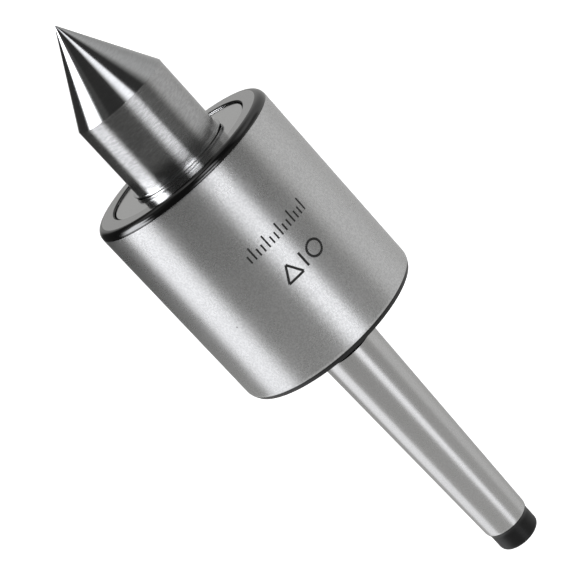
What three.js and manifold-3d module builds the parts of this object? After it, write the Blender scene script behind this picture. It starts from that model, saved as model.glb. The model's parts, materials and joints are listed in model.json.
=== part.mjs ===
// A live centre for a small lathe: a hardened 60 degree point that turns on three
// bearings inside a cylindrical housing, whose shank is a Morse taper No. 1.
// Millimetres. X runs along the spindle towards the point and Z is up. The origin
// is on the axis, in the plane where the taper has its gauge diameter.

import * as THREE from 'three';
import { mergeVertices } from 'three/addons/utils/BufferGeometryUtils.js';
import Module from 'manifold-3d';

const wasm = await Module();
wasm.setup();

// ---------- driving dimensions ----------

// Morse taper No. 1: the taper is the change in diameter for each unit of length.
const GAUGE_DIAMETER = 12.065;
const TAPER = 0.04988;
const TAPER_LENGTH = 48.2;

// The unground end behind the taper, with its centre hole.
const STUB_LENGTH = 4.85;
const STUB_DIAMETER = 8.86;
const STUB_EDGE_RADIUS = 0.8;
const STUB_BEVEL_LENGTH = 0.8;
const CENTRE_HOLE_MOUTH = 3.8;
const CENTRE_HOLE_PILOT = 1.8;
const CENTRE_HOLE_DEPTH = 3.7;

// The housing and the relieved neck between it and the taper.
const NECK_LENGTH = 5.1;
const NECK_DIAMETER = 11.4;
const NECK_BEVEL_LENGTH = 0.3;
const BODY_DIAMETER = 38.4;
const BODY_LENGTH = 41.7;
const FRONT_EDGE_RADIUS = 1.4;
const REAR_CHAMFER_LENGTH = 0.95;
const REAR_CHAMFER_DEPTH = 0.5;

// The front cover, its seat in the housing and the felt dust seal behind its lip.
const COVER_DIAMETER = 29.6;
const COVER_SEAT_DIAMETER = 30.0;
const COVER_SEAT_BEVEL = 0.2;
const COVER_SEAT_CLEARANCE = 0.2;
const COVER_RECESS = 0.37;
const COVER_EDGE = 0.1;
const COVER_HOLE = 19.6;
const COVER_LIP = 1.0;
const SEAL_RECESS_DIAMETER = 25.2;
const SEAL_OUTER_DIAMETER = 25.0;
const SEAL_INNER_DIAMETER = 19.2;

// The rotating point, and the thin collar that covers the hole in the front cover.
const NOSE_DIAMETER = 18.9;
const NOSE_END = 62.0;
const POINT_HALF_ANGLE = 30;
const TIP_FLAT_RADIUS = 0.12;
const COLLAR_DIAMETER = 20.1;
const COLLAR_REAR = 46.95;
const COLLAR_FRONT = 47.15;
const SEAL_BAND_DIAMETER = 19.0;
const SHOULDER_DIAMETER = 17.2;
const SHOULDER_LENGTH = 0.3;
const TAIL_END = 11.3;
const TAIL_CHAMFER = 0.4;

// Faces that stand against each other are this far apart, and so are the
// cylinders that are pressed or pushed together.
const FACE_GAP = 0.05;
const FIT_GAP = 0.06;

// The front deep-groove bearing, the thrust bearing and the rear deep-groove
// bearing. Shoulders are the ring surfaces on either side of the ball groove.
const FRONT = {
  name: 'front', bore: 15, outside: 28, width: 7, balls: 10, ballDiameter: 3.5, pitch: 21.5,
  innerShoulder: 19.5, outerShoulder: 23.5, cageInside: 19.9, cageOutside: 23.0, cageWidth: 4.8,
  pocket: 3.9,
};
const REAR = {
  name: 'rear', bore: 8, outside: 22, width: 7, balls: 7, ballDiameter: 3.969, pitch: 15,
  innerShoulder: 12.2, outerShoulder: 17.8, cageInside: 12.7, cageOutside: 17.3, cageWidth: 5.2,
  pocket: 4.4,
};
const THRUST = {
  bore: 12, outside: 26, height: 9, balls: 10, ballDiameter: 4.762, pitch: 19,
  washerThickness: 2.7, shaftWasherOutside: 25.6, housingWasherBore: 13,
  cageInside: 13.8, cageOutside: 24.4, cageThickness: 2.0, pocket: 5.2,
};
const THRUST_SEAT = 26.1;
const REAR_BEARING_AT = 14.2;
const SHIELD_THICKNESS = 0.25;
const SHIELD_INSET = 0.25;
const SHIELD_INNER_GAP = 0.2;
const SHIELD_OUTER_GAP = 0.1;
const GROOVE_GAP = 0.15;

// The wave spring behind the rear bearing.
const SPRING_SEAT = 12.9;
const SPRING_INSIDE = 16.6;
const SPRING_OUTSIDE = 21.6;
const SPRING_THICKNESS = 0.3;
const SPRING_WAVE = 0.35;
const SPRING_WAVES = 3;

// The bottom of the bore and the snap ring on the spindle's tail.
const RELIEF_DIAMETER = 16;
const RELIEF_BOTTOM = 9.5;
const SNAP_RING_THICKNESS = 0.8;
const SNAP_RING_GROOVE_DIAMETER = 7.4;
const SNAP_RING_OUTSIDE = 10.6;
const SNAP_RING_LUGS = 12.4;
const SNAP_RING_GAP_ANGLE = 40;
const SNAP_RING_LUG_ANGLE = 24;
const SNAP_RING_LUG_HOLE = 0.9;
const SNAP_RING_HOLE_PITCH = 10.3;

const BODY_SEGMENTS = 72;
const SPINDLE_SEGMENTS = 64;
const RING_SEGMENTS = 36;
const SPRING_SEGMENTS = 36;
const SNAP_RING_SEGMENTS = 10;
const EDGE_STEPS = 4;
const POCKET_SEGMENTS = 10;
const POCKET_OVERCUT = 2;
const BALL_SEGMENTS = 8;
const BALL_RINGS = 6;
const GROOVE_STEPS = 4;

// ---------- places along the axis ----------

const taperDiameter = (x) => GAUGE_DIAMETER + TAPER * x;
const stubFront = -TAPER_LENGTH;
const stubEnd = stubFront - STUB_LENGTH;
const housingRear = NECK_LENGTH;
const housingFront = housingRear + BODY_LENGTH;
const thrustRear = THRUST_SEAT + FACE_GAP;
const thrustFront = thrustRear + THRUST.height;
const thrustBalls = thrustRear + THRUST.height / 2;
const frontSeat = thrustFront + FACE_GAP;
const frontBearingRear = frontSeat + FACE_GAP;
const frontBearingFront = frontBearingRear + FRONT.width;
const coverRear = frontBearingFront + FACE_GAP;
const coverFront = housingFront - COVER_RECESS;
const coverSeatBottom = coverRear - COVER_SEAT_CLEARANCE;
const rearBearingFront = REAR_BEARING_AT + REAR.width;
const snapRingFront = REAR_BEARING_AT - 2 * FACE_GAP;

// ---------- materials ----------

const steel = (color, roughness) => new THREE.MeshStandardMaterial({ color, roughness, metalness: 1 });
const groundSteel = steel(0xb3b4b4, 0.38);
const polishedSteel = steel(0xc2c3c5, 0.2);
const coverSteel = steel(0xa3a4a5, 0.45);
const bearingSteel = steel(0xcacbcd, 0.22);
const springSteel = steel(0x5d6066, 0.4);
const pressedSteel = steel(0x9b9da0, 0.4);
const brass = new THREE.MeshStandardMaterial({ color: 0xc2a052, roughness: 0.35, metalness: 1 });
const felt = new THREE.MeshStandardMaterial({ color: 0x2b2b2c, roughness: 0.95, metalness: 0 });

// ---------- outlines and solids of revolution ----------

const radians = THREE.MathUtils.degToRad;
const degrees = THREE.MathUtils.radToDeg;

// Points [along, radius] of an arc; the angle is measured from +X towards the outside.
function arc(along, radius, arcRadius, from, to, steps) {
  const points = [];
  for (let i = 0; i <= steps; i += 1) {
    const angle = radians(from + (to - from) * i / steps);
    points.push([along + arcRadius * Math.cos(angle), radius + arcRadius * Math.sin(angle)]);
  }
  return points;
}

// Turns an outline of [along, radius] points about the X axis. It is drawn from
// the rear to the front along the outside.
function revolve(outline, segments) {
  const profile = outline.map(([along, radius]) => new THREE.Vector2(radius, along));
  const geometry = new THREE.LatheGeometry(profile, segments);
  geometry.rotateZ(-Math.PI / 2);
  return geometry;
}

// A ring between two radii, whose outline closes on itself.
function ring(rear, front, inside, outside, segments) {
  const outline = [
    [rear, inside],
    [rear, outside],
    [front, outside],
    [front, inside],
    [rear, inside],
  ];
  return revolve(outline, segments);
}

function toSolid(geometry) {
  const bare = geometry.clone();
  bare.deleteAttribute('normal');
  bare.deleteAttribute('uv');
  const merged = mergeVertices(bare);
  const vertProperties = new Float32Array(merged.attributes.position.array);
  const triVerts = new Uint32Array(merged.index.array);
  return new wasm.Manifold(new wasm.Mesh({ numProp: 3, vertProperties, triVerts }));
}

function toGeometry(solid) {
  const mesh = solid.getMesh();
  const geometry = new THREE.BufferGeometry();
  geometry.setAttribute('position', new THREE.BufferAttribute(mesh.vertProperties, 3));
  geometry.setIndex(new THREE.BufferAttribute(mesh.triVerts, 1));
  geometry.computeVertexNormals();
  return geometry;
}

const part = new THREE.Group();

function add(name, geometry, material) {
  const mesh = new THREE.Mesh(geometry, material);
  mesh.name = name;
  part.add(mesh);
  return mesh;
}

// ---------- housing with its shank ----------

function housing() {
  const stubRadius = STUB_DIAMETER / 2;
  const stubEdge = STUB_EDGE_RADIUS;
  const bodyRadius = BODY_DIAMETER / 2;
  const frontEdge = FRONT_EDGE_RADIUS;
  const mouth = CENTRE_HOLE_MOUTH / 2;
  const pilot = CENTRE_HOLE_PILOT / 2;
  const mouthDepth = (mouth - pilot) / Math.tan(radians(POINT_HALF_ANGLE));
  const taperFoot = taperDiameter(stubFront) / 2;
  const seatRadius = COVER_SEAT_DIAMETER / 2;
  const frontBore = FRONT.outside / 2 + FIT_GAP;
  const thrustBore = THRUST.outside / 2 + FIT_GAP;
  const rearBore = REAR.outside / 2 + FIT_GAP;
  const outline = [
    // centre hole
    [stubEnd + CENTRE_HOLE_DEPTH, 0],
    [stubEnd + CENTRE_HOLE_DEPTH - pilot / 2, pilot],
    [stubEnd + mouthDepth, pilot],
    [stubEnd, mouth],
    // unground end, then the taper
    ...arc(stubEnd + stubEdge, stubRadius - stubEdge, stubEdge, 180, 90, EDGE_STEPS),
    [stubFront - STUB_BEVEL_LENGTH, stubRadius],
    [stubFront, taperFoot],
    [0, GAUGE_DIAMETER / 2],
    [NECK_BEVEL_LENGTH, NECK_DIAMETER / 2],
    // neck and rear face
    [housingRear, NECK_DIAMETER / 2],
    [housingRear, bodyRadius - REAR_CHAMFER_DEPTH],
    [housingRear + REAR_CHAMFER_LENGTH, bodyRadius],
    // rounded front edge
    ...arc(housingFront - frontEdge, bodyRadius - frontEdge, frontEdge, 90, 0, EDGE_STEPS),
    // cover seat
    [housingFront, seatRadius + COVER_SEAT_BEVEL],
    [housingFront - COVER_SEAT_BEVEL, seatRadius],
    [coverSeatBottom, seatRadius],
    // stepped bore for the three bearings
    [coverSeatBottom, frontBore],
    [frontSeat, frontBore],
    [frontSeat, thrustBore],
    [THRUST_SEAT, thrustBore],
    [THRUST_SEAT, rearBore],
    [SPRING_SEAT, rearBore],
    [SPRING_SEAT, RELIEF_DIAMETER / 2],
    [RELIEF_BOTTOM, RELIEF_DIAMETER / 2],
    [RELIEF_BOTTOM, 0],
  ];
  add('housing', revolve(outline, BODY_SEGMENTS), groundSteel);
}

// ---------- front cover and dust seal ----------

function frontCover() {
  const outside = COVER_DIAMETER / 2;
  const hole = COVER_HOLE / 2;
  const recess = SEAL_RECESS_DIAMETER / 2;
  const outline = [
    [coverRear, recess],
    [coverRear, outside],
    [coverFront - COVER_EDGE, outside],
    [coverFront, outside - COVER_EDGE],
    [coverFront, hole + COVER_EDGE],
    [coverFront - COVER_EDGE, hole],
    [coverFront - COVER_LIP, hole],
    [coverFront - COVER_LIP, recess],
    [coverRear, recess],
  ];
  add('front_cover', revolve(outline, BODY_SEGMENTS), coverSteel);
  const sealRear = coverRear + FACE_GAP;
  const sealFront = coverFront - COVER_LIP - FACE_GAP;
  const seal = ring(sealRear, sealFront, SEAL_INNER_DIAMETER / 2, SEAL_OUTER_DIAMETER / 2, RING_SEGMENTS);
  add('dust_seal', seal, felt);
}

// ---------- rotating spindle ----------

function spindle() {
  const noseRadius = NOSE_DIAMETER / 2;
  const tip = NOSE_END + (noseRadius - TIP_FLAT_RADIUS) / Math.tan(radians(POINT_HALF_ANGLE));
  const grooveRear = snapRingFront - SNAP_RING_THICKNESS - FACE_GAP;
  const grooveFront = snapRingFront + FACE_GAP;
  const grooveRadius = SNAP_RING_GROOVE_DIAMETER / 2;
  const tailRadius = REAR.bore / 2;
  const middleRadius = THRUST.bore / 2;
  const journalRadius = FRONT.bore / 2;
  const shoulderRadius = SHOULDER_DIAMETER / 2;
  const bandRadius = SEAL_BAND_DIAMETER / 2;
  const collarRadius = COLLAR_DIAMETER / 2;
  const outline = [
    // tail with the snap ring's groove
    [TAIL_END, 0],
    [TAIL_END, tailRadius - TAIL_CHAMFER],
    [TAIL_END + TAIL_CHAMFER, tailRadius],
    [grooveRear, tailRadius],
    [grooveRear, grooveRadius],
    [grooveFront, grooveRadius],
    [grooveFront, tailRadius],
    // journals for the rear, thrust and front bearings
    [rearBearingFront + FACE_GAP, tailRadius],
    [rearBearingFront + FACE_GAP, middleRadius],
    [frontSeat, middleRadius],
    [frontSeat, journalRadius],
    [coverRear, journalRadius],
    [coverRear, shoulderRadius],
    [coverRear + SHOULDER_LENGTH, shoulderRadius],
    // band that runs in the seal, and the thin collar
    [coverRear + SHOULDER_LENGTH, bandRadius],
    [COLLAR_REAR, bandRadius],
    [COLLAR_REAR, collarRadius],
    [COLLAR_FRONT, collarRadius],
    [COLLAR_FRONT, noseRadius],
    // nose and point
    [NOSE_END, noseRadius],
    [tip, TIP_FLAT_RADIUS],
    [tip, 0],
  ];
  add('spindle', revolve(outline, SPINDLE_SEGMENTS), polishedSteel);
}

// ---------- bearing parts ----------

// Balls stand evenly on the pitch circle, the first one straight up.
function balls(name, at, bearing) {
  for (let i = 0; i < bearing.balls; i += 1) {
    const angle = 2 * Math.PI * i / bearing.balls;
    const number = String(i + 1).padStart(2, '0');
    const sphere = new THREE.SphereGeometry(bearing.ballDiameter / 2, BALL_SEGMENTS, BALL_RINGS);
    const ball = add(`${name}_ball_${number}`, sphere, bearingSteel);
    ball.position.set(at, bearing.pitch / 2 * Math.sin(angle), bearing.pitch / 2 * Math.cos(angle));
  }
}

// A plain ring with one round pocket for each ball: the pockets of a radial
// bearing point away from the axis, and those of a thrust bearing lie along it.
function cage(name, at, bearing, width, pocketsAlongAxis, material) {
  const inside = bearing.cageInside / 2;
  const outside = bearing.cageOutside / 2;
  const pocketRadius = bearing.pocket / 2;
  const depth = (pocketsAlongAxis ? width : 2 * (outside - inside)) + POCKET_OVERCUT;
  let solid = toSolid(ring(at - width / 2, at + width / 2, inside, outside, RING_SEGMENTS));
  for (let i = 0; i < bearing.balls; i += 1) {
    const pocket = new THREE.CylinderGeometry(pocketRadius, pocketRadius, depth, POCKET_SEGMENTS);
    if (pocketsAlongAxis) {
      pocket.rotateZ(Math.PI / 2);
    } else {
      pocket.rotateX(Math.PI / 2);
    }
    pocket.translate(at, 0, bearing.pitch / 2);
    pocket.rotateX(-2 * Math.PI * i / bearing.balls);
    solid = solid.subtract(toSolid(pocket));
  }
  add(name, toGeometry(solid), material);
}

function radialBearing(bearing, rear) {
  const front = rear + bearing.width;
  const middle = rear + bearing.width / 2;
  const pitch = bearing.pitch / 2;
  const groove = bearing.ballDiameter / 2 + GROOVE_GAP;
  const inner = bearing.innerShoulder / 2;
  const outer = bearing.outerShoulder / 2;
  const bore = bearing.bore / 2 + FIT_GAP;
  const outside = bearing.outside / 2;
  const innerLip = degrees(Math.asin((pitch - inner) / groove));
  const outerLip = degrees(Math.asin((outer - pitch) / groove));
  const innerOutline = [
    [rear, bore],
    [rear, inner],
    ...arc(middle, pitch, groove, 180 + innerLip, 360 - innerLip, GROOVE_STEPS),
    [front, inner],
    [front, bore],
    [rear, bore],
  ];
  const outerOutline = [
    [rear, outer],
    [rear, outside],
    [front, outside],
    [front, outer],
    ...arc(middle, pitch, groove, outerLip, 180 - outerLip, GROOVE_STEPS),
    [rear, outer],
  ];
  add(`${bearing.name}_bearing_inner_ring`, revolve(innerOutline, RING_SEGMENTS), bearingSteel);
  add(`${bearing.name}_bearing_outer_ring`, revolve(outerOutline, RING_SEGMENTS), bearingSteel);
  cage(`${bearing.name}_bearing_cage`, middle, bearing, bearing.cageWidth, false, pressedSteel);
  balls(bearing.name, middle, bearing);
}

// The shield closes the front bearing towards the cover, just inside its face.
function bearingShield() {
  const front = frontBearingFront - SHIELD_INSET;
  const inside = FRONT.innerShoulder / 2 + SHIELD_INNER_GAP;
  const outside = FRONT.outerShoulder / 2 - SHIELD_OUTER_GAP;
  const shield = ring(front - SHIELD_THICKNESS, front, inside, outside, RING_SEGMENTS);
  add('front_bearing_shield', shield, pressedSteel);
}

function thrustBearing() {
  const pitch = THRUST.pitch / 2;
  const groove = THRUST.ballDiameter / 2 + GROOVE_GAP;
  const housingFace = thrustRear + THRUST.washerThickness;
  const shaftFace = thrustFront - THRUST.washerThickness;
  const lip = degrees(Math.acos((thrustBalls - housingFace) / groove));
  const housingWasher = [
    [thrustRear, THRUST.housingWasherBore / 2],
    [thrustRear, THRUST.outside / 2],
    [housingFace, THRUST.outside / 2],
    ...arc(thrustBalls, pitch, groove, 180 - lip, 180 + lip, GROOVE_STEPS),
    [housingFace, THRUST.housingWasherBore / 2],
    [thrustRear, THRUST.housingWasherBore / 2],
  ];
  const shaftWasherBore = THRUST.bore / 2 + FIT_GAP;
  const shaftWasher = [
    [shaftFace, shaftWasherBore],
    ...arc(thrustBalls, pitch, groove, -lip, lip, GROOVE_STEPS),
    [shaftFace, THRUST.shaftWasherOutside / 2],
    [thrustFront, THRUST.shaftWasherOutside / 2],
    [thrustFront, shaftWasherBore],
    [shaftFace, shaftWasherBore],
  ];
  add('thrust_housing_washer', revolve(housingWasher, RING_SEGMENTS), bearingSteel);
  add('thrust_shaft_washer', revolve(shaftWasher, RING_SEGMENTS), bearingSteel);
  cage('thrust_bearing_cage', thrustBalls, THRUST, THRUST.cageThickness, true, brass);
  balls('thrust', thrustBalls, THRUST);
}

// ---------- wave spring and snap ring ----------

// A flat ring bent into waves that run around the axis.
function waveSpring() {
  const middle = (SPRING_SEAT + REAR_BEARING_AT) / 2;
  const rear = middle - SPRING_THICKNESS / 2;
  const front = middle + SPRING_THICKNESS / 2;
  const geometry = ring(rear, front, SPRING_INSIDE / 2, SPRING_OUTSIDE / 2, SPRING_SEGMENTS);
  const position = geometry.attributes.position;
  for (let i = 0; i < position.count; i += 1) {
    const angle = Math.atan2(position.getY(i), position.getZ(i));
    position.setX(i, position.getX(i) + SPRING_WAVE * Math.cos(SPRING_WAVES * angle));
  }
  geometry.computeVertexNormals();
  add('wave_spring', geometry, springSteel);
}

// An open ring with two lugs, each with a hole for the pliers.
function snapRing() {
  const inside = SNAP_RING_GROOVE_DIAMETER / 2 + FIT_GAP;
  const outside = SNAP_RING_OUTSIDE / 2;
  const lugs = SNAP_RING_LUGS / 2;
  const start = radians(SNAP_RING_GAP_ANGLE / 2);
  const lugEnd = start + radians(SNAP_RING_LUG_ANGLE);
  const turn = 2 * Math.PI;
  const shape = new THREE.Shape();
  shape.absarc(0, 0, lugs, start, lugEnd, false);
  shape.absarc(0, 0, outside, lugEnd, turn - lugEnd, false);
  shape.absarc(0, 0, lugs, turn - lugEnd, turn - start, false);
  shape.absarc(0, 0, inside, turn - start, start, true);
  shape.closePath();
  const holeAt = SNAP_RING_HOLE_PITCH / 2;
  for (const side of [-1, 1]) {
    const angle = side * (start + lugEnd) / 2;
    const hole = new THREE.Path();
    hole.absarc(holeAt * Math.cos(angle), holeAt * Math.sin(angle), SNAP_RING_LUG_HOLE / 2, 0, turn, false);
    shape.holes.push(hole);
  }
  const geometry = new THREE.ExtrudeGeometry(shape, {
    depth: SNAP_RING_THICKNESS,
    bevelEnabled: false,
    curveSegments: SNAP_RING_SEGMENTS,
  });
  geometry.rotateY(Math.PI / 2);
  geometry.translate(snapRingFront - SNAP_RING_THICKNESS, 0, 0);
  add('snap_ring', geometry, springSteel);
}

housing();
frontCover();
spindle();
radialBearing(FRONT, frontBearingRear);
bearingShield();
thrustBearing();
radialBearing(REAR, REAR_BEARING_AT);
waveSpring();
snapRing();

export default part;
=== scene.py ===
"""A live centre for a small lathe: the looks of its pieces, the stage and the camera.

Everything is in metres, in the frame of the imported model: X runs along the spindle
towards the point and Z is up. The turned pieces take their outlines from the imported
nodes, get rounded edges and fine steps, and carry exact normals.
"""

import json
import math

import bpy
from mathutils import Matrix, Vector

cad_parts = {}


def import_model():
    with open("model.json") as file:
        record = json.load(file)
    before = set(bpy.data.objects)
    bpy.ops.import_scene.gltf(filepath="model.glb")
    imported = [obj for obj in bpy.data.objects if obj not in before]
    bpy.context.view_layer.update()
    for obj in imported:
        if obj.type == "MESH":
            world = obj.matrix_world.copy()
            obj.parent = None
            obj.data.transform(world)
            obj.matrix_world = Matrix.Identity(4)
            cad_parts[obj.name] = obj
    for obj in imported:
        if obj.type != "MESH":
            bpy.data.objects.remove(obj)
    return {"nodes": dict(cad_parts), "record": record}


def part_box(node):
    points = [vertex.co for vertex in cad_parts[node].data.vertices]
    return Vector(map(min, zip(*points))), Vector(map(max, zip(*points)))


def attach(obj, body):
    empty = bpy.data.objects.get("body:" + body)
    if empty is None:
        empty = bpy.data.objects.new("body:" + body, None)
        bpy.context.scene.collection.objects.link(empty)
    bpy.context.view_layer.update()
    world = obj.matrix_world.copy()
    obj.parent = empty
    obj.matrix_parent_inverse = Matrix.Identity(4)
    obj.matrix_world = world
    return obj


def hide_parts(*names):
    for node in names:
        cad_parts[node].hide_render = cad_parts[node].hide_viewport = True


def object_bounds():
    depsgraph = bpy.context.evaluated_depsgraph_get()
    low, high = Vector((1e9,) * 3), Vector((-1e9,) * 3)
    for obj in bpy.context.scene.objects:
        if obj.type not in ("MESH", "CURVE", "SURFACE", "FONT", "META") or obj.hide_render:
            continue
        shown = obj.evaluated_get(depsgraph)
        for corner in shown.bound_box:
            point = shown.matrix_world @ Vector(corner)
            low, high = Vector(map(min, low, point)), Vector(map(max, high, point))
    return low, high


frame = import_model()
nodes = frame["nodes"]
cad_box = [list(corner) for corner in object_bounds()]

MM = 0.001
STEPS_AROUND = 256
BALL_STEPS = 32
ARC_STEP = math.radians(7.5)

# A corner that turns less than this between short runs is part of a curve.
CURVE_TURN = math.radians(32)
CURVE_RUN = 1.2 * MM

# Lengths in metres and turns in radians below these count as nothing.
NO_LENGTH = 1e-7
NO_OFFSET = 1e-8
NO_TURN = 1e-4
PLACE_DIGITS = 8

# How far corners are rounded off.
SOFT_EDGE = 0.08 * MM
SHARP_EDGE = 0.05 * MM
RING_EDGE = 0.3 * MM
SMALL_RING_EDGE = 0.25 * MM

mounts = {mount["name"]: mount for mount in frame["record"]["mounts"]}
GAUGE_PLANE = mounts["morse_taper"]["pos_m"][0]
HOUSING_REAR = mounts["housing_rear_face"]["pos_m"][0]
HOUSING_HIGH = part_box("housing")[1]
COVER_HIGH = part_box("front_cover")[1]
BODY_RADIUS = HOUSING_HIGH.z


# ---------- outlines ----------

def cad_outline(node):
    """The [along, radius] outline of a turned node, rear to front along the outside, and
    whether it closes on itself. It is read from the node's vertices straight above the axis."""
    mesh = nodes[node].data
    place = {}
    for vertex in mesh.vertices:
        if abs(vertex.co.y) < NO_OFFSET and vertex.co.z > -NO_OFFSET:
            spot = round(vertex.co.x, PLACE_DIGITS), round(vertex.co.z, PLACE_DIGITS)
            place[vertex.index] = spot
    links = {}
    for edge in mesh.edges:
        first, second = edge.vertices
        if first in place and second in place and place[first] != place[second]:
            links.setdefault(place[first], set()).add(place[second])
            links.setdefault(place[second], set()).add(place[first])
    ends = sorted(point for point, near in links.items() if len(near) == 1)
    closed = not ends
    path = [ends[0] if ends else min(links)]
    while True:
        onward = [point for point in sorted(links[path[-1]]) if point not in path[-2:]]
        if not onward or onward[0] == path[0]:
            break
        path.append(onward[0])
    if closed and area(path) > 0:
        path.reverse()
    return [Vector(point) for point in path], closed


def area(path):
    """Twice the signed area inside a closed path."""
    return sum(a[0] * b[1] - b[0] * a[1] for a, b in zip(path, path[1:] + path[:1]))


def soften(outline, closed, edge):
    """Rounds the outline's corners. Returns (point, direction) pairs."""
    rows = []
    count = len(outline)
    for i, corner in enumerate(outline):
        if not closed and i == 0:
            rows.append((corner, (outline[1] - corner).normalized()))
            continue
        if not closed and i == count - 1:
            rows.append((corner, (corner - outline[i - 1]).normalized()))
            continue
        inward = corner - outline[i - 1]
        outward = outline[(i + 1) % count] - corner
        short = min(inward.length, outward.length)
        inward.normalize()
        outward.normalize()
        side = Vector((-inward.y, inward.x))
        turn = math.atan2(outward.dot(side), outward.dot(inward))
        bend = abs(turn)
        if bend < NO_TURN:
            rows.append((corner, inward))
            continue
        reach = edge * math.tan(bend / 2)
        if bend < CURVE_TURN and short < CURVE_RUN:
            reach = short / 2
        reach = min(reach, short / 2)
        radius = reach / math.tan(bend / 2)
        steps = max(2, math.ceil(bend / ARC_STEP))
        side *= math.copysign(1, turn)
        for k in range(steps + 1):
            angle = bend * k / steps
            point = corner - inward * reach
            point += inward * (radius * math.sin(angle)) + side * (radius * (1 - math.cos(angle)))
            rows.append((point, inward * math.cos(angle) + side * math.sin(angle)))
    slim = []
    for row in rows:
        if not slim or (row[0] - slim[-1][0]).length > NO_LENGTH:
            slim.append(row)
    if closed and (slim[0][0] - slim[-1][0]).length <= NO_LENGTH:
        slim.pop()
    return slim


# ---------- meshes ----------

def make_object(name, vertices, faces, normals, materials, zones):
    """A mesh object with a normal for each vertex and a material for each face."""
    mesh = bpy.data.meshes.new(name)
    mesh.from_pydata(vertices, [], faces)
    for material in materials:
        mesh.materials.append(material)
    for polygon, zone in zip(mesh.polygons, zones):
        polygon.material_index = zone
        polygon.use_smooth = True
    mesh.validate()
    mesh.update()
    mesh.normals_split_custom_set_from_vertices(normals)
    piece = bpy.data.objects.new(name, mesh)
    bpy.context.scene.collection.objects.link(piece)
    return piece


def turn_outline(name, rows, closed, materials, zone_of, around, centre=(0.0, 0.0)):
    """Turns (point, direction) rows about a line along X through centre."""
    vertices, normals, rings = [], [], []
    for point, direction in rows:
        along, radius = point
        if radius < NO_LENGTH:
            rings.append([len(vertices)])
            vertices.append((along, centre[0], centre[1]))
            normals.append((-math.copysign(1, direction.y), 0.0, 0.0))
            continue
        rings.append(list(range(len(vertices), len(vertices) + around)))
        for k in range(around):
            angle = 2 * math.pi * k / around
            out_y, out_z = math.sin(angle), math.cos(angle)
            vertices.append((along, centre[0] + radius * out_y, centre[1] + radius * out_z))
            normals.append((-direction.y, direction.x * out_y, direction.x * out_z))
    faces, zones = [], []
    pairs = list(zip(range(len(rings)), range(1, len(rings))))
    if closed:
        pairs.append((len(rings) - 1, 0))
    for a, b in pairs:
        middle = (rows[a][0] + rows[b][0]) / 2
        zone = zone_of(middle.x, middle.y) if zone_of else 0
        rear, front = rings[a], rings[b]
        for k in range(around):
            n = (k + 1) % around
            if len(rear) == 1:
                faces.append((rear[0], front[k], front[n]))
            elif len(front) == 1:
                faces.append((rear[k], front[0], rear[n]))
            else:
                faces.append((rear[k], front[k], front[n], rear[n]))
            zones.append(zone)
    return make_object(name, vertices, faces, normals, materials, zones)


def turned_piece(name, node, body, materials, zone_of=None, edge=SOFT_EDGE):
    """A fine turned piece that stands for a turned CAD node."""
    outline, closed = cad_outline(node)
    rows = soften(outline, closed, edge)
    piece = turn_outline(name, rows, closed, materials, zone_of, STEPS_AROUND)
    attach(piece, body)
    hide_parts(node)
    return piece


def ball_piece(name, node, body, material):
    """A fine ball that stands for a CAD ball."""
    low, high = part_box(node)
    middle = (low + high) / 2
    radius = (high.x - low.x) / 2
    rows = []
    for k in range(BALL_STEPS // 2 + 1):
        angle = math.pi * k / (BALL_STEPS // 2)
        along, out = math.cos(angle), math.sin(angle)
        point = Vector((middle.x - radius * along, radius * out))
        rows.append((point, Vector((out, along))))
    rows[0] = (Vector((middle.x - radius, 0.0)), Vector((0.0, 1.0)))
    rows[-1] = (Vector((middle.x + radius, 0.0)), Vector((0.0, -1.0)))
    piece = turn_outline(name, rows, False, [material], None, BALL_STEPS, (middle.y, middle.z))
    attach(piece, body)
    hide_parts(node)
    return piece


# ---------- node graphs ----------

# Where the Mix node has its share, its two colours and its result.
MIX_SHARE = 0
MIX_FIRST = 6
MIX_SECOND = 7
MIX_RESULT = 2


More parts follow.
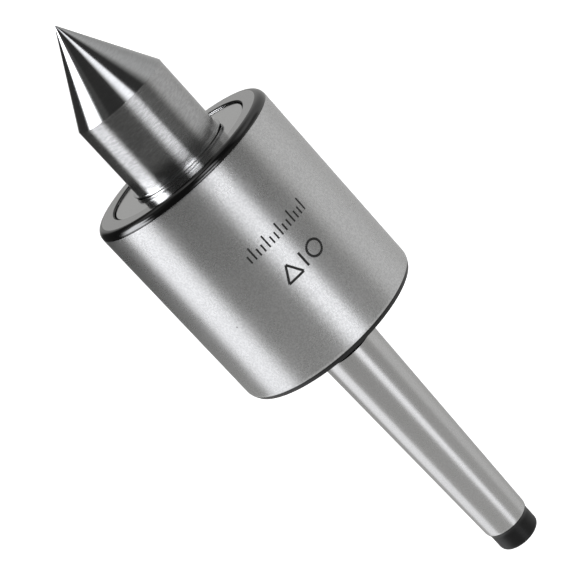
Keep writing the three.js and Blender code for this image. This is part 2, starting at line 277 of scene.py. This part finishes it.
class Graph:
    """Short ways to write a node tree. Values may be numbers or sockets."""

    def __init__(self, tree):
        self.tree = tree

    def node(self, kind, **settings):
        made = self.tree.nodes.new(kind)
        for key, value in settings.items():
            setattr(made, key, value)
        return made

    def put(self, socket, value):
        if isinstance(value, bpy.types.NodeSocket):
            self.tree.links.new(value, socket)
        else:
            socket.default_value = value

    def math(self, operation, *values):
        made = self.node("ShaderNodeMath", operation=operation)
        for socket, value in zip(made.inputs, values):
            self.put(socket, value)
        return made.outputs[0]

    def add(self, a, b):
        return self.math("ADD", a, b)

    def times(self, a, b):
        return self.math("MULTIPLY", a, b)

    def rise(self, value, start, end, low=0.0, high=1.0):
        """Goes smoothly from low to high as value goes from start to end."""
        made = self.node("ShaderNodeMapRange", interpolation_type="SMOOTHSTEP")
        for socket, number in zip(made.inputs, (value, start, end, low, high)):
            self.put(socket, number)
        return made.outputs[0]

    def stages(self, value, base, *changes):
        """Starts at base and adds a change for each (start, end, change) that value passes."""
        total = base
        for start, end, change in changes:
            total = self.add(total, self.rise(value, start, end, 0.0, change))
        return total

    def noise(self, place, scale, detail=2.0, roughness=0.5):
        made = self.node("ShaderNodeTexNoise")
        self.put(made.inputs["Vector"], place)
        made.inputs["Scale"].default_value = scale
        made.inputs["Detail"].default_value = detail
        made.inputs["Roughness"].default_value = roughness
        return made.outputs[0]

    def blend(self, share, first, second):
        """A share of first and the rest of second."""
        return self.add(self.times(first, share), self.times(second, 1 - share))

    def vector(self, x, y, z):
        made = self.node("ShaderNodeCombineXYZ")
        for socket, value in zip(made.inputs, (x, y, z)):
            self.put(socket, value)
        return made.outputs[0]

    def mix(self, amount, first, second):
        made = self.node("ShaderNodeMix", data_type="RGBA")
        self.put(made.inputs[MIX_SHARE], amount)
        self.put(made.inputs[MIX_FIRST], first)
        self.put(made.inputs[MIX_SECOND], second)
        return made.outputs[MIX_RESULT]

    def bump(self, height, distance, normal=None):
        made = self.node("ShaderNodeBump")
        made.inputs["Strength"].default_value = 1.0
        made.inputs["Distance"].default_value = distance
        self.put(made.inputs["Height"], height)
        if normal is not None:
            self.put(made.inputs["Normal"], normal)
        return made.outputs[0]


def grey(value, warmth=0.0):
    """A grey with a slight warm or cool tint."""
    return (value * (1 + warmth), value, value * (1 - warmth), 1.0)


# Noise settings: scale in turns per metre, detail and roughness.
TURNED_NOISE = (160.0, 4.0, 0.7)
SPECKLE_NOISE = (4200.0, 2.0, 0.6)
CLOUD_NOISE = (170.0, 3.0, 0.55)
FLECK_NOISE = (3000.0, 1.0)
FIBRE_NOISE = (5200.0, 5.0, 0.75)
CLUMP_NOISE = (900.0, 2.0)
FLOOR_NOISE = (12.0, 2.0)

# The middle part of a noise that is stretched over its whole range.
NOISE_RANGE = (0.3, 0.7)
WANDER_RANGE = (0.25, 0.75)

# Shares of the clouds in the colour and in the roughness. The rest is finer noise.
CLOUDS_IN_COLOUR = 0.7
CLOUDS_IN_ROUGHNESS = 0.6

# How much a stain lightens against how much it darkens, and how dark specks and pits are.
STAIN_LIGHTENS = 0.6
FLECK_SHADE = 0.4
PIT_SHADE = 0.12
PIT_COVER = 0.75
PIT_SCALE = 330.0
PIT_EDGE = (0.07, 0.03)

# A quarter turn between the tangent round X and the way that the highlight is drawn out.
ACROSS_LINES = 0.25


def metal(name, light, rough, warmth=0.0, spread=0.04, lines=0.0, grain=0.0, stretch=0.0, pits=0.0,
          stain=0.12, fleck=0.0, metallic=1.0, fine=60.0, drawn=1.0, specular=0.5):
    """A machined metal. lines is the depth in metres of the fine turned lines, grain that
    of the even speckle, pits the share of the surface with dark specks, spread how much
    the roughness wanders, stain and fleck how much the colour does in clouds and in
    specks, drawn how far the specks are drawn out around the axis, fine how close the
    turned lines lie, stretch the anisotropy across them, and specular the strength of
    the reflection on what is not metallic."""
    material = bpy.data.materials.new(name)
    material.use_nodes = True
    graph = Graph(material.node_tree)
    shader = material.node_tree.nodes["Principled BSDF"]
    place = graph.node("ShaderNodeTexCoord").outputs["Object"]
    split = graph.node("ShaderNodeSeparateXYZ")
    graph.put(split.inputs[0], place)
    along, y, z = split.outputs
    radius = graph.math("SQRT", graph.add(graph.times(y, y), graph.times(z, z)))
    profile = graph.math("SUBTRACT", along, radius)
    around = graph.vector(graph.times(profile, fine), y, z)

    turned_lines = graph.noise(around, *TURNED_NOISE)
    speckle = graph.noise(place, *SPECKLE_NOISE)
    clouds = graph.noise(place, *CLOUD_NOISE)
    patches = graph.blend(CLOUDS_IN_COLOUR, clouds, turned_lines)

    darkest = grey(light * (1 - stain), warmth)
    lightest = grey(light * (1 + stain * STAIN_LIGHTENS), warmth)
    tone = graph.mix(patches, darkest, lightest)
    if fleck:
        specks = graph.vector(profile, graph.times(y, 1 / drawn), graph.times(z, 1 / drawn))
        specks = graph.rise(graph.noise(specks, *FLECK_NOISE), *NOISE_RANGE, 0.0, fleck)
        tone = graph.mix(specks, tone, grey(light * FLECK_SHADE, warmth))
    if pits:
        cells = graph.node("ShaderNodeTexVoronoi")
        graph.put(cells.inputs["Vector"], place)
        cells.inputs["Scale"].default_value = PIT_SCALE
        chosen = graph.node("ShaderNodeSeparateColor")
        graph.put(chosen.inputs[0], cells.outputs["Color"])
        near = graph.rise(cells.outputs["Distance"], *PIT_EDGE)
        mask = graph.times(near, graph.math("LESS_THAN", chosen.outputs[0], pits))
        tone = graph.mix(graph.times(mask, PIT_COVER), tone, grey(light * PIT_SHADE))
    graph.put(shader.inputs["Base Color"], tone)

    wander = graph.blend(CLOUDS_IN_ROUGHNESS, clouds, speckle)
    roughness = graph.rise(wander, *WANDER_RANGE, rough - spread, rough + spread)
    graph.put(shader.inputs["Roughness"], roughness)
    normal = None
    if grain:
        normal = graph.bump(speckle, grain)
    if lines:
        normal = graph.bump(turned_lines, lines, normal=normal)
    if normal is not None:
        graph.put(shader.inputs["Normal"], normal)
    shader.inputs["Metallic"].default_value = metallic
    shader.inputs["Specular IOR Level"].default_value = specular
    if stretch:
        tangent = graph.node("ShaderNodeTangent", direction_type="RADIAL", axis="X")
        graph.put(shader.inputs["Tangent"], tangent.outputs[0])
        shader.inputs["Anisotropic"].default_value = stretch
        shader.inputs["Anisotropic Rotation"].default_value = ACROSS_LINES
    return material


FELT_DARK = grey(0.014)
FELT_LIGHT = grey(0.04, 0.05)
FELT_ROUGHNESS = (0.82, 0.98)
FELT_PILE = 0.08 * MM
FELT_SHEEN = 0.4


def felt_material(name):
    """Dense dark felt with a fine fibre grain."""
    material = bpy.data.materials.new(name)
    material.use_nodes = True
    graph = Graph(material.node_tree)
    shader = material.node_tree.nodes["Principled BSDF"]
    place = graph.node("ShaderNodeTexCoord").outputs["Object"]
    fibres = graph.noise(place, *FIBRE_NOISE)
    clumps = graph.noise(place, *CLUMP_NOISE)
    graph.put(shader.inputs["Base Color"], graph.mix(clumps, FELT_DARK, FELT_LIGHT))
    graph.put(shader.inputs["Roughness"], graph.rise(fibres, *NOISE_RANGE, *FELT_ROUGHNESS))
    graph.put(shader.inputs["Normal"], graph.bump(fibres, FELT_PILE))
    shader.inputs["Sheen Weight"].default_value = FELT_SHEEN
    return material


body_steel = metal("Ground_Body_Steel", 0.7, 0.28, spread=0.025, grain=0.008 * MM, stretch=0.2,
                   pits=0.02, stain=0.06, fleck=0.3)
shank_steel = metal("Ground_Shank_Steel", 0.62, 0.26, warmth=0.006, grain=0.004 * MM,
                    lines=0.0015 * MM, stretch=0.35, pits=0.004, stain=0.06, fleck=0.12)
# Painted shade: the rounded front edge is near-black, standing in for the dark reflections that it
# shows.
painted_dark_edge_steel = metal("Turned_Edge_Painted_Shade", 0.095, 0.15, lines=0.001 * MM, stretch=0.4)
face_steel = metal("Turned_Face_Steel", 0.5, 0.16, lines=0.001 * MM, stretch=0.4)
bore_steel = metal("Bored_Steel", 0.85, 0.2, lines=0.003 * MM, stretch=0.4)
black_steel = metal("Black_Oxide_Steel", 0.007, 0.36, grain=0.004 * MM, lines=0.003 * MM,
                    metallic=0.0, stain=0.4, specular=0.3)
point_steel = metal("Polished_Point_Steel", 0.55, 0.13, warmth=-0.01, spread=0.03, lines=0.0008 * MM,
                    stretch=0.5, stain=0.06, fleck=0.15, drawn=4.0)
nose_steel = metal("Ground_Nose_Steel", 0.52, 0.22, lines=0.004 * MM, stretch=0.7, stain=0.1,
                   fleck=0.24, fine=14.0, drawn=4.0)
journal_steel = metal("Ground_Journal_Steel", 0.6, 0.22, lines=0.001 * MM, stretch=0.4)
cover_steel = metal("Turned_Cover_Steel", 0.64, 0.14, lines=0.0008 * MM, stretch=0.4)
ring_steel = metal("Bearing_Steel", 0.66, 0.12, lines=0.0006 * MM, stretch=0.4, stain=0.05)
ball_steel = metal("Ball_Steel", 0.72, 0.06, spread=0.02, grain=0.0002 * MM, stain=0.03)
pressed_steel = metal("Pressed_Steel", 0.5, 0.3, grain=0.004 * MM)
spring_steel = metal("Tempered_Spring_Steel", 0.09, 0.32, warmth=-0.08, grain=0.003 * MM, stain=0.3)
brass = metal("Cage_Brass", 0.5, 0.28, warmth=0.38, grain=0.002 * MM, lines=0.002 * MM)
mark_black = metal("Etched_Mark", 0.03, 0.55, grain=0.006 * MM, metallic=0.4, stain=0.5)
felt = felt_material("Seal_Felt")


# ---------- housing ----------

def taper_foot():
    """Where the ground taper ends and the rough end begins: a corner behind the gauge plane."""
    outline = cad_outline("housing")[0]
    gauge = min(outline, key=lambda point: abs(point.x - GAUGE_PLANE))
    return outline[outline.index(gauge) - 1].x


# Where the housing's finishes change, and where the rounded front edge takes its painted shade.
TAPER_FOOT = taper_foot()
REAR_CHAMFER = 1.0 * MM
EDGE_RADIUS = 1.38 * MM
SEAT_RADIUS = 15 * MM
SEAT_BEVEL = 0.21 * MM

# How far below the body's surface its ground finish still counts.
BODY_MARGIN = 0.1 * MM

HOUSING_STEELS = [body_steel, shank_steel, black_steel, painted_dark_edge_steel, face_steel, bore_steel]
BODY, SHANK, BLACK, EDGE, FACE, BORE = range(len(HOUSING_STEELS))


def housing_zone(along, radius):
    """Which of the housing's steels a place on its outline has. The rounded front edge gets a steel
    with painted shade.
    """
    if along > COVER_HIGH.x and abs(radius - SEAT_RADIUS) < SEAT_BEVEL:
        return BLACK
    if along < TAPER_FOOT:
        return BLACK
    if along < GAUGE_PLANE:
        return SHANK
    if along < HOUSING_REAR + REAR_CHAMFER:
        return BLACK
    # The rounded front edge: painted shade for the dark reflections that it shows.
    if along > HOUSING_HIGH.x - EDGE_RADIUS and radius > BODY_RADIUS - EDGE_RADIUS:
        return EDGE
    if along > COVER_HIGH.x and radius > SEAT_RADIUS:
        return FACE
    if radius > BODY_RADIUS - BODY_MARGIN:
        return BODY
    return BORE


turned_piece("Housing", "housing", "housing", HOUSING_STEELS, housing_zone)


COVER_RIM = 0.12 * MM


def cover_zone(along, radius):
    """0 turned face, 1 dark rim."""
    return 1 if radius > COVER_HIGH.z - COVER_RIM else 0


turned_piece("Front_Cover", "front_cover", "housing", [cover_steel, black_steel],
             cover_zone, edge=SHARP_EDGE)
turned_piece("Dust_Seal", "dust_seal", "housing", [felt], edge=RING_EDGE)


# ---------- spindle ----------

NOSE_RADIUS = 9.45 * MM
NOSE_MARGIN = 0.05 * MM

# The spindle is journals behind this place, which is just inside the cover.
JOURNAL_START = COVER_HIGH.x - 1 * MM


def spindle_zone(along, radius):
    """0 polished point and collar, 1 ground nose and seal band, 2 ground journals."""
    if along < JOURNAL_START:
        return 2
    return 1 if abs(radius - NOSE_RADIUS) < NOSE_MARGIN else 0


turned_piece("Spindle", "spindle", "spindle", [point_steel, nose_steel, journal_steel],
             spindle_zone, edge=SHARP_EDGE)


# ---------- bearings, spring and snap ring ----------

RING_STEELS = {"bearing_steel": ring_steel, "pressed_steel": pressed_steel}

# Name, node, body, slot and rounding of each ring.
RINGS = (
    ("Front_Inner_Ring", "front_bearing_inner_ring", "spindle", "bearing_steel", RING_EDGE),
    ("Front_Outer_Ring", "front_bearing_outer_ring", "housing", "bearing_steel", RING_EDGE),
    ("Front_Shield", "front_bearing_shield", "housing", "pressed_steel", SHARP_EDGE),
    ("Thrust_Housing_Washer", "thrust_housing_washer", "housing", "bearing_steel", RING_EDGE),
    ("Thrust_Shaft_Washer", "thrust_shaft_washer", "spindle", "bearing_steel", RING_EDGE),
    ("Rear_Inner_Ring", "rear_bearing_inner_ring", "spindle", "bearing_steel", SMALL_RING_EDGE),
    ("Rear_Outer_Ring", "rear_bearing_outer_ring", "housing", "bearing_steel", SMALL_RING_EDGE),
)
for name, node, body, slot, edge in RINGS:
    turned_piece(name, node, body, [RING_STEELS[slot]], edge=edge)

for set_name in ("front", "thrust", "rear"):
    body = set_name + "_balls"
    for node in sorted(name for name in nodes if name.startswith(set_name + "_ball_")):
        ball_piece(node.title(), node, body, ball_steel)

for node, material in (("front_bearing_cage", pressed_steel), ("rear_bearing_cage", pressed_steel),
                       ("thrust_bearing_cage", brass), ("wave_spring", spring_steel),
                       ("snap_ring", spring_steel)):
    kept = nodes[node].data
    kept.materials.clear()
    kept.materials.append(material)


# ---------- etched marks ----------

# The strokes stand this high above the body's surface and reach this deep below it.
MARK_HEIGHT = 0.006 * MM
MARK_DEPTH = 0.03 * MM
MARK_STEP = 0.3 * MM

# How far round the body, from straight up, the middle of the marks lies.
MARK_MIDDLE = math.radians(-12.5)


def mark_piece(name, lines, width):
    """Thin curved strokes on the housing along lines of (around, along) points."""
    vertices, faces, normals = [], [], []
    for start, end in lines:
        start, end = Vector(start), Vector(end)
        length = (end - start).length
        line = (end - start).normalized()
        side = Vector((-line.y, line.x)) * (width / 2)
        count = max(1, math.ceil(length / MARK_STEP))
        first = len(vertices)
        for k in range(count + 1):
            spot = start + line * (length * k / count)
            for (around, along), lift in ((spot - side, MARK_HEIGHT), (spot + side, MARK_HEIGHT),
                                          (spot + side, -MARK_DEPTH), (spot - side, -MARK_DEPTH)):
                angle = MARK_MIDDLE + around / BODY_RADIUS
                out_y, out_z = math.sin(angle), math.cos(angle)
                radius = BODY_RADIUS + lift
                vertices.append((along, radius * out_y, radius * out_z))
                normals.append((0.0, out_y, out_z))
        for k in range(count):
            a = first + 4 * k
            b = a + 4
            for u, v in ((0, 1), (1, 2), (2, 3), (3, 0)):
                faces.append((a + u, a + v, b + v, b + u))
        last = first + 4 * count
        faces.append((first, first + 3, first + 2, first + 1))
        faces.append((last, last + 1, last + 2, last + 3))
    piece = make_object(name, vertices, faces, normals, [mark_black], [0] * len(faces))
    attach(piece, "housing")
    return piece


def path_lines(points):
    """The straight lines from each point to the next."""
    return list(zip(points, points[1:]))


# A plain scale of ticks, every third one long.
SCALE_AT = HOUSING_REAR + 23.9 * MM
SCALE_PITCH = 1.03 * MM
SCALE_TICKS = 14
LONG_TICK = 2.6 * MM
SHORT_TICK = 1.5 * MM
TICK_WIDTH = 0.33 * MM
LONG_TICK_EVERY = 3
ticks = []
for k in range(SCALE_TICKS):
    across = (k - (SCALE_TICKS - 1) / 2) * SCALE_PITCH
    length = SHORT_TICK if k % LONG_TICK_EVERY else LONG_TICK
    ticks.append(((across, SCALE_AT), (across, SCALE_AT + length)))
mark_piece("Etched_Scale", ticks, TICK_WIDTH)

# Three plain signs: a triangle, a bar and a ring.
SIGN_LOW = HOUSING_REAR + 16.8 * MM
SIGN_HIGH = HOUSING_REAR + 19.8 * MM
SIGN_MIDDLE = (SIGN_LOW + SIGN_HIGH) / 2
SIGN_RADIUS = (SIGN_HIGH - SIGN_LOW) / 2
TRIANGLE_ACROSS = (1.1 * MM, 2.8 * MM, 4.5 * MM)
BAR_ACROSS = -0.2 * MM
RING_ACROSS = -3.0 * MM
RING_STEPS = 32
SIGN_WIDTH = 0.45 * MM
near, middle, far = TRIANGLE_ACROSS
triangle = [(near, SIGN_LOW), (middle, SIGN_HIGH), (far, SIGN_LOW), (near, SIGN_LOW)]
ring = []
for k in range(RING_STEPS + 1):
    angle = 2 * math.pi * k / RING_STEPS
    across = RING_ACROSS + SIGN_RADIUS * math.cos(angle)
    ring.append((across, SIGN_MIDDLE + SIGN_RADIUS * math.sin(angle)))
bar = [(BAR_ACROSS, SIGN_LOW), (BAR_ACROSS, SIGN_HIGH)]
mark_piece("Etched_Signs", path_lines(triangle) + path_lines(bar) + path_lines(ring), SIGN_WIDTH)


# ---------- floor ----------

FLOOR_HALF_SIDE = 3.0
FLOOR_GAP = 0.2 * MM
FLOOR_DARK = grey(0.86)
FLOOR_LIGHT = grey(0.9)
FLOOR_ROUGHNESS = 0.9
FLOOR_GLOW = 0.9


def floor_piece():
    """A wide pale floor just under the housing."""
    half = FLOOR_HALF_SIDE
    level = cad_box[0][2] - FLOOR_GAP
    middle = (cad_box[0][0] + cad_box[1][0]) / 2
    corners = [(middle - half, -half, level), (middle + half, -half, level),
               (middle + half, half, level), (middle - half, half, level)]
    mesh = bpy.data.meshes.new("Floor")
    mesh.from_pydata(corners, [], [(0, 1, 2, 3)])
    floor = bpy.data.objects.new("Floor", mesh)
    bpy.context.scene.collection.objects.link(floor)
    material = bpy.data.materials.new("Pale_Floor")
    material.use_nodes = True
    graph = Graph(material.node_tree)
    shader = material.node_tree.nodes["Principled BSDF"]
    place = graph.node("ShaderNodeTexCoord").outputs["Object"]
    clouds = graph.noise(place, *FLOOR_NOISE)
    graph.put(shader.inputs["Base Color"], graph.mix(clouds, FLOOR_DARK, FLOOR_LIGHT))
    shader.inputs["Roughness"].default_value = FLOOR_ROUGHNESS
    shader.inputs["Emission Color"].default_value = grey(1.0)
    shader.inputs["Emission Strength"].default_value = FLOOR_GLOW
    mesh.materials.append(material)
    floor.visible_glossy = False


floor_piece()


# ---------- studio ----------

# The light from each direction depends on its lean, which is how far it points towards
# +X, from -1 to 1, and on its angle in degrees about X, from straight up towards +Y. Seen
# from the camera, the shank mirrors leans round -0.43, the body and nose -0.33 to -0.16,
# the front face 0.2 and the point 0.3 to 0.8.
#
# A fade or an edge is where a light starts and where it is full, or the other way round.
# A value that changes with the lean is written as its base and then, for each change,
# the lean where it starts, the lean where it is complete, and how much it adds.

DEGREES = 180 / math.pi
WARM_SHADE = (0.8, 0.797, 0.78, 1.0)
COOL_LIGHT = (0.785, 0.792, 0.815, 1.0)
TINT_RANGE = (0.2, 1.8)

# Light that comes from everywhere: little ahead, more behind.
BACKDROP = (0.055, (-0.18, -0.4, 0.545), (-0.38, -0.48, 0.06))

# The point starts to be mirrored at the first lean and is alone at the second.
POINT_RANGE = (0.2, 0.7)

SIDE_BOX_MIDDLE = (86.0, (-0.24, -0.42, 15.0), (-0.24, -0.19, 2.0), (0.25, 0.45, 9.0))
SIDE_BOX_HALF = (21.5, (-0.34, -0.42, 5.0), (-0.24, -0.19, -2.0), (0.25, 0.45, -3.5))
SIDE_BOX_STRENGTH = (1.75, (0.03, 0.15, 6.25), (-0.33, -0.42, -0.3))
SIDE_BOX_EDGE = 9.0
SIDE_BOX_FADE = (0.73, 0.63)

TOP_BOX_EDGES = ((10.0, -13.0), (-32.0, -23.0))
TOP_BOX_STRENGTH = (2.2, (-0.15, -0.09, -2.0), (0.1, 0.16, 6.0), (0.24, 0.31, -6.0),
                    (0.58, 0.68, 2.2), (-0.33, -0.42, -0.55))
TOP_BOX_FADE = (0.9, 0.8)
TOP_BOX_TURN_AT_POINT = 6.0

WALL_EDGE = (-48.0, -84.0)
WALL_LEANS = (0.95, 0.6)
WALL_LIGHT = 0.76
WALL_FOOT = (-100.0, -140.0)
WALL_FOOT_SHARE = 0.78
WALL_RISE_LEANS = (0.3, -0.19)
WALL_RISE = 1.12
WALL_TURN_AT_POINT = 10.0

# A dim stretch of the wall, mirrored by the rounded front edge.
WALL_GAP_LEANS = ((-0.05, 0.06), (0.46, 0.38))
WALL_GAP_FOOT = (-118.0, -104.0)
WALL_GAP_SHARE = 0.4

GLOW_EDGE = (-20.0, -40.0)
GLOW_LIGHTS = (0.14, 0.05)

UNDERSIDE_EDGE = (155.0, 172.0)
UNDERSIDE_LEANS = (0.55, 0.3)
UNDERSIDE_LIGHT = 0.58

END_LEANS = (0.965, 0.995)
END_LIGHT = 0.75

LEDGE_EDGE = (46.0, 58.0)
LEDGE_LEANS = (0.55, 0.62)
LEDGE_LIGHT = 0.12

# Heights are from -1, straight down, to 1. Sides are from -1 to 1 towards +Y.
FRONT_FILL_HEIGHTS = ((-0.06, -0.16), (-0.58, -0.48))
FRONT_FILL_LEANS = (0.42, 0.55)
FRONT_FILL_SIDES = (-0.2, 0.2)
FRONT_FILL_LIGHTS = (0.3, 0.45)


def side_box(graph, lean, angle):
    """The long soft box on the +Y side."""
    middle = graph.stages(lean, *SIDE_BOX_MIDDLE)
    half = graph.stages(lean, *SIDE_BOX_HALF)
    strength = graph.stages(lean, *SIDE_BOX_STRENGTH)
    aside = graph.math("ABSOLUTE", graph.math("SUBTRACT", angle, middle))
    past_half = graph.math("SUBTRACT", aside, half)
    box = graph.rise(past_half, SIDE_BOX_EDGE, -SIDE_BOX_EDGE, 0.0, strength)
    return graph.times(box, graph.rise(lean, *SIDE_BOX_FADE))


def top_box(graph, lean, angle, point):
    """The narrow long soft box above, a little towards -Y."""
    turned = graph.add(angle, graph.times(point, TOP_BOX_TURN_AT_POINT))
    right, left = TOP_BOX_EDGES
    box = graph.times(graph.rise(turned, *right), graph.rise(turned, *left))
    strength = graph.stages(lean, *TOP_BOX_STRENGTH)
    return graph.times(box, graph.times(strength, graph.rise(lean, *TOP_BOX_FADE)))


def wall(graph, lean, angle, beside):
    """The grey wall on the -Y side."""
    light = graph.times(graph.rise(beside, *WALL_EDGE), graph.rise(lean, *WALL_LEANS, 0.0, WALL_LIGHT))
    light = graph.times(light, graph.rise(angle, *WALL_FOOT, 1.0, WALL_FOOT_SHARE))
    light = graph.times(light, graph.rise(lean, *WALL_RISE_LEANS, 1.0, WALL_RISE))
    rear, front = WALL_GAP_LEANS
    gap = graph.times(graph.rise(lean, *rear), graph.rise(lean, *front))
    gap = graph.times(gap, graph.rise(angle, *WALL_GAP_FOOT))
    return graph.times(light, graph.rise(gap, 0.0, 1.0, 1.0, WALL_GAP_SHARE))


def glow(graph, point, beside):
    """The faint light between the top box and the wall."""
    return graph.rise(beside, *GLOW_EDGE, 0.0, graph.rise(point, 0.0, 1.0, *GLOW_LIGHTS))


def underside(graph, lean, angle):
    """The grey light from below."""
    low = graph.rise(graph.math("ABSOLUTE", angle), *UNDERSIDE_EDGE)
    return graph.times(low, graph.rise(lean, *UNDERSIDE_LEANS, 0.0, UNDERSIDE_LIGHT))


def end_light(graph, lean):
    """The round grey light straight ahead of the point."""
    return graph.rise(lean, *END_LEANS, 0.0, END_LIGHT)


def ledge(graph, lean, angle):
    """The faint light beside the side box that the point mirrors."""
    return graph.times(graph.rise(angle, *LEDGE_EDGE, 0.0, LEDGE_LIGHT), graph.rise(lean, *LEDGE_LEANS))


def front_fill(graph, lean, side, height):
    """The grey light ahead and a little below, which the front face mirrors from in front."""
    above, below = FRONT_FILL_HEIGHTS
    band = graph.times(graph.rise(height, *above), graph.rise(height, *below))
    band = graph.times(band, graph.rise(lean, *FRONT_FILL_LEANS))
    return graph.times(band, graph.rise(side, *FRONT_FILL_SIDES, *FRONT_FILL_LIGHTS))


def world():
    """Lights the object with the studio. The camera sees plain white in its place."""
    made = bpy.data.worlds.new("Studio")
    bpy.context.scene.world = made
    made.use_nodes = True
    tree = made.node_tree
    tree.nodes.clear()
    graph = Graph(tree)
    split = graph.node("ShaderNodeSeparateXYZ")
    graph.put(split.inputs[0], graph.node("ShaderNodeTexCoord").outputs["Generated"])
    lean, side, height = split.outputs
    angle = graph.times(graph.math("ARCTAN2", side, height), DEGREES)
    point = graph.rise(lean, *POINT_RANGE)
    beside = graph.add(angle, graph.times(point, WALL_TURN_AT_POINT))

    light = graph.stages(lean, *BACKDROP)
    lamps = (side_box(graph, lean, angle), top_box(graph, lean, angle, point),
             wall(graph, lean, angle, beside), glow(graph, point, beside),
             underside(graph, lean, angle), end_light(graph, lean), ledge(graph, lean, angle),
             front_fill(graph, lean, side, height))
    for lamp in lamps:
        light = graph.math("MAXIMUM", light, lamp)

    studio = graph.node("ShaderNodeBackground")
    tint = graph.mix(graph.rise(light, *TINT_RANGE), WARM_SHADE, COOL_LIGHT)
    graph.put(studio.inputs["Color"], tint)
    graph.put(studio.inputs["Strength"], light)
    plain = graph.node("ShaderNodeBackground")
    plain.inputs["Color"].default_value = grey(1.0)
    pick = graph.node("ShaderNodeMixShader")
    graph.put(pick.inputs[0], graph.node("ShaderNodeLightPath").outputs["Is Camera Ray"])
    graph.put(pick.inputs[1], studio.outputs[0])
    graph.put(pick.inputs[2], plain.outputs[0])
    out = graph.node("ShaderNodeOutputWorld")
    graph.put(out.inputs[0], pick.outputs[0])


world()
bpy.context.scene.view_settings.view_transform = "Standard"


# ---------- camera ----------

CAMERA_TILT = math.radians(17.69)
CAMERA_TURN = math.radians(42.52)
CAMERA_DISTANCE = 0.3153
CAMERA_NEAR = 0.01
CAMERA_FAR = 20.0

# The lens and the sensor are in millimetres, as a camera's data keeps them.
CAMERA_LENS = 108.7
CAMERA_SENSOR = 36.0

# Where the camera aims, from the middle of the object.
AIM_AHEAD = 2.945 * MM
AIM_ASIDE = 0.92 * MM


def camera():
    """Looks down on the object, tilted towards the point, which lies up and to the left."""
    forward = Vector((-math.sin(CAMERA_TILT), 0.0, -math.cos(CAMERA_TILT)))
    ahead = Vector((math.cos(CAMERA_TILT), 0.0, -math.sin(CAMERA_TILT)))
    aside = Vector((0.0, -1.0, 0.0))
    up = ahead * math.cos(CAMERA_TURN) + aside * math.sin(CAMERA_TURN)
    right = aside * math.cos(CAMERA_TURN) - ahead * math.sin(CAMERA_TURN)
    aim = Vector(((cad_box[0][0] + cad_box[1][0]) / 2 + AIM_AHEAD, AIM_ASIDE, 0.0))
    data = bpy.data.cameras.new("Camera")
    data.lens = CAMERA_LENS
    data.sensor_width = CAMERA_SENSOR
    made = bpy.data.objects.new("Camera", data)
    bpy.context.scene.collection.objects.link(made)
    turn = made.matrix_world.copy()
    for row in range(3):
        turn[row][0], turn[row][1], turn[row][2] = right[row], up[row], -forward[row]
        turn[row][3] = aim[row] - forward[row] * CAMERA_DISTANCE
    made.matrix_world = turn
    data.clip_start = CAMERA_NEAR
    data.clip_end = CAMERA_FAR
    bpy.context.scene.camera = made


camera()
